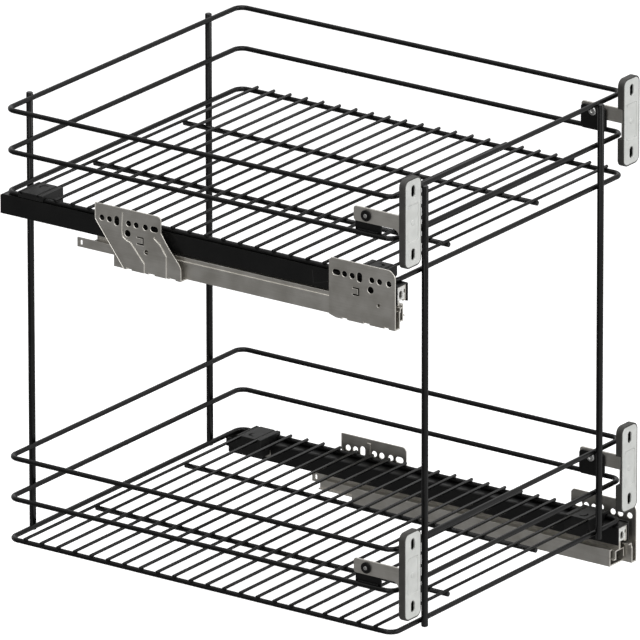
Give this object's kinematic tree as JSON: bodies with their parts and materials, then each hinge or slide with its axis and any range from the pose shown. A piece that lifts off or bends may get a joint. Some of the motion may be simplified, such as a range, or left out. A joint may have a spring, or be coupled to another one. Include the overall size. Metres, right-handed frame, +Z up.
{
  "type": "pull out cabinet basket",
  "caption": "Wire basket unit in two tiers on uprights, with side-mounted full-extension slides and tilting door brackets, for a base cabinet.",
  "frame": {"origin": "middle of the underside of the whole product's box, slides shut", "axes": "+Z up, -Y towards the door and the way the baskets pull out, +X towards the cabinet's right side wall as seen from the front"},
  "size_m": [0.414, 0.4856, 0.5112],
  "materials": {
    "black_wire": "black powder coat",
    "black_sheet": "black powder coat",
    "black_plastic": "fine matt",
    "dark_grey_plastic": "fine matt",
    "plate_steel": "light grey, satin",
    "zinc_steel": "zinc plated, satin",
    "bright_steel": "bright",
    "black_washer": "black",
    "white_plastic": "moulded nylon"
  },
  "bodies": {
    "cabinet_side": {"left_cabinet_rail": "zinc_steel", "right_cabinet_rail": "zinc_steel", "left_front_side_bracket": "zinc_steel", "left_rear_side_bracket": "zinc_steel", "right_front_side_bracket": "zinc_steel", "right_rear_side_bracket": "zinc_steel"},
    "basket": {"lower_floor_ring": "black_wire", "lower_middle_ring": "black_wire", "lower_top_ring": "black_wire", "lower_floor_rods": "black_wire", "lower_cross_wires": "black_wire", "upper_floor_ring": "black_wire", "upper_middle_ring": "black_wire", "upper_top_ring": "black_wire", "upper_floor_rods": "black_wire", "upper_cross_wires": "black_wire", "front_left_upright": "black_wire", "front_right_upright": "black_wire", "rear_left_upright": "black_wire", "rear_right_upright": "black_wire", "left_carrier": "black_sheet", "right_carrier": "black_sheet", "left_front_clip": "black_plastic", "left_rear_clip": "black_plastic", "right_front_clip": "black_plastic", "right_rear_clip": "black_plastic", "left_drawer_rail": "zinc_steel", "right_drawer_rail": "zinc_steel", "left_rail_bumper": "white_plastic", "right_rail_bumper": "white_plastic", "upper_left_tab": "black_sheet", "upper_right_tab": "black_sheet", "lower_left_tab": "black_sheet", "lower_right_tab": "black_sheet", "tab_screws": "bright_steel", "tab_washers": "black_washer"},
    "left_middle_slide": {"left_mid_rail": "zinc_steel"},
    "right_middle_slide": {"right_mid_rail": "zinc_steel"},
    "left_upper_roller_cage": {"left_upper_cage": "white_plastic", "left_upper_rollers": "bright_steel"},
    "left_lower_roller_cage": {"left_lower_cage": "white_plastic", "left_lower_rollers": "bright_steel"},
    "right_upper_roller_cage": {"right_upper_cage": "white_plastic", "right_upper_rollers": "bright_steel"},
    "right_lower_roller_cage": {"right_lower_cage": "white_plastic", "right_lower_rollers": "bright_steel"},
    "upper_left_door_bracket": {"upper_left_door_plate": "plate_steel", "upper_left_door_tray": "dark_grey_plastic", "upper_left_door_arm": "zinc_steel"},
    "upper_right_door_bracket": {"upper_right_door_plate": "plate_steel", "upper_right_door_tray": "dark_grey_plastic", "upper_right_door_arm": "zinc_steel"},
    "lower_left_door_bracket": {"lower_left_door_plate": "plate_steel", "lower_left_door_tray": "dark_grey_plastic", "lower_left_door_arm": "zinc_steel"},
    "lower_right_door_bracket": {"lower_right_door_plate": "plate_steel", "lower_right_door_tray": "dark_grey_plastic", "lower_right_door_arm": "zinc_steel"}
  },
  "joints": [
    {"name": "basket_slide", "type": "slide", "parent": "cabinet_side", "child": "basket", "axis": [0, -1, 0], "range_m": [0, 0.4]},
    {"name": "left_middle_travel", "type": "slide", "parent": "cabinet_side", "child": "left_middle_slide", "axis": [0, -1, 0], "range_m": [0, 0.2]},
    {"name": "left_lower_roller_cage_travel", "type": "slide", "parent": "cabinet_side", "child": "left_lower_roller_cage", "axis": [0, -1, 0], "range_m": [0, 0.1]},
    {"name": "left_upper_roller_cage_travel", "type": "slide", "parent": "cabinet_side", "child": "left_upper_roller_cage", "axis": [0, -1, 0], "range_m": [0, 0.3]},
    {"name": "right_middle_travel", "type": "slide", "parent": "cabinet_side", "child": "right_middle_slide", "axis": [0, -1, 0], "range_m": [0, 0.2]},
    {"name": "right_lower_roller_cage_travel", "type": "slide", "parent": "cabinet_side", "child": "right_lower_roller_cage", "axis": [0, -1, 0], "range_m": [0, 0.1]},
    {"name": "right_upper_roller_cage_travel", "type": "slide", "parent": "cabinet_side", "child": "right_upper_roller_cage", "axis": [0, -1, 0], "range_m": [0, 0.3]},
    {"name": "upper_left_door_tilt", "type": "hinge", "parent": "basket", "child": "upper_left_door_bracket", "pos_m": [-0.1928, -0.19392, 0.46615], "axis": [1, 0, 0], "range_deg": [-2.5, 2.5]},
    {"name": "upper_right_door_tilt", "type": "hinge", "parent": "basket", "child": "upper_right_door_bracket", "pos_m": [0.1928, -0.19392, 0.46615], "axis": [1, 0, 0], "range_deg": [-2.5, 2.5]},
    {"name": "lower_left_door_tilt", "type": "hinge", "parent": "basket", "child": "lower_left_door_bracket", "pos_m": [-0.1928, -0.19392, 0.10655], "axis": [1, 0, 0], "range_deg": [-2.5, 2.5]},
    {"name": "lower_right_door_tilt", "type": "hinge", "parent": "basket", "child": "lower_right_door_bracket", "pos_m": [0.1928, -0.19392, 0.10655], "axis": [1, 0, 0], "range_deg": [-2.5, 2.5]}
  ],
  "couplings": [
    {"joint": "left_middle_travel", "follows": "basket_slide", "ratio": 0.5},
    {"joint": "left_lower_roller_cage_travel", "follows": "basket_slide", "ratio": 0.25},
    {"joint": "left_upper_roller_cage_travel", "follows": "basket_slide", "ratio": 0.75},
    {"joint": "right_middle_travel", "follows": "basket_slide", "ratio": 0.5},
    {"joint": "right_lower_roller_cage_travel", "follows": "basket_slide", "ratio": 0.25},
    {"joint": "right_upper_roller_cage_travel", "follows": "basket_slide", "ratio": 0.75}
  ]
}
